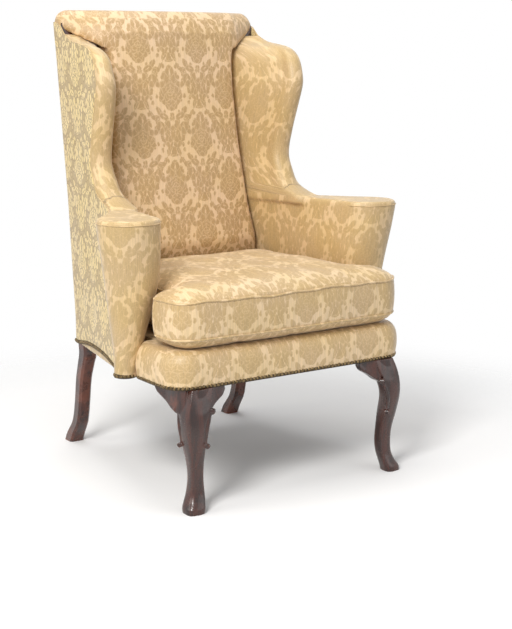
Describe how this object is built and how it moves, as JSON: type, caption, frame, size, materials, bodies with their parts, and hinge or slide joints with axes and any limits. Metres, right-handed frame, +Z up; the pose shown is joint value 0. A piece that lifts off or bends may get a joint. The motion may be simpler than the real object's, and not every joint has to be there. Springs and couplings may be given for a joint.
{
  "type": "wingback armchair",
  "caption": "Upholstered wing armchair with flat-topped rolled arms, a loose T-shaped seat cushion, cabriole front legs and raked rear legs.",
  "frame": {"origin": "middle of the floor plan: halfway across the width and halfway between the front of the cushion and the rear heels, on the floor", "axes": "+Z up; the chair faces -Y, so a sitter looks along -Y; +X is on the right of someone who looks at its front"},
  "size_m": [0.8678, 0.759, 1.18],
  "materials": {
    "walnut": "polished dark wood, waxed, with worn edges",
    "beech": "plain sawn frame timber",
    "damask": "silk damask, satin figure on a ribbed ground",
    "cushion_damask": "silk damask with piped seams",
    "webbing": "jute webbing",
    "hessian": "open jute cloth",
    "black_cloth": "black cambric"
  },
  "bodies": {
    "root": {"arm_pad_left": "damask", "arm_pad_right": "damask", "arm_rail_left": "beech", "arm_rail_right": "beech", "arm_support_left": "beech", "arm_support_right": "beech", "back_hessian": "hessian", "back_post_left": "beech", "back_post_right": "beech", "back_webbing": "webbing", "corner_block_front_left": "beech", "corner_block_front_right": "beech", "corner_block_rear_left": "beech", "corner_block_rear_right": "beech", "crest_rail": "beech", "dust_cover": "black_cloth", "ear_block_left": "beech", "ear_block_right": "beech", "front_leg_left": "walnut", "front_leg_right": "walnut", "front_rail": "beech", "inside_back_pad": "damask", "knee_bracket_front_left": "walnut", "knee_bracket_front_right": "walnut", "knee_bracket_side_left": "walnut", "knee_bracket_side_right": "walnut", "lower_back_rail": "beech", "outside_back_cover": "damask", "outside_side_cover_left": "damask", "outside_side_cover_right": "damask", "rear_leg_left": "walnut", "rear_leg_right": "walnut", "rear_rail": "beech", "seat_hessian": "hessian", "seat_pad": "damask", "seat_webbing": "webbing", "side_rail_left": "beech", "side_rail_right": "beech", "wing_pad_left": "damask", "wing_pad_right": "damask", "wing_top_rail_left": "beech", "wing_top_rail_right": "beech", "wing_upright_left": "beech", "wing_upright_right": "beech"},
    "cushion": {"seat_cushion": "cushion_damask"}
  },
  "joints": [
    {"name": "cushion_lift", "type": "slide", "parent": "root", "child": "cushion", "axis": [0, -0.9659, 0.2588], "range_m": [0, 0.6]}
  ]
}
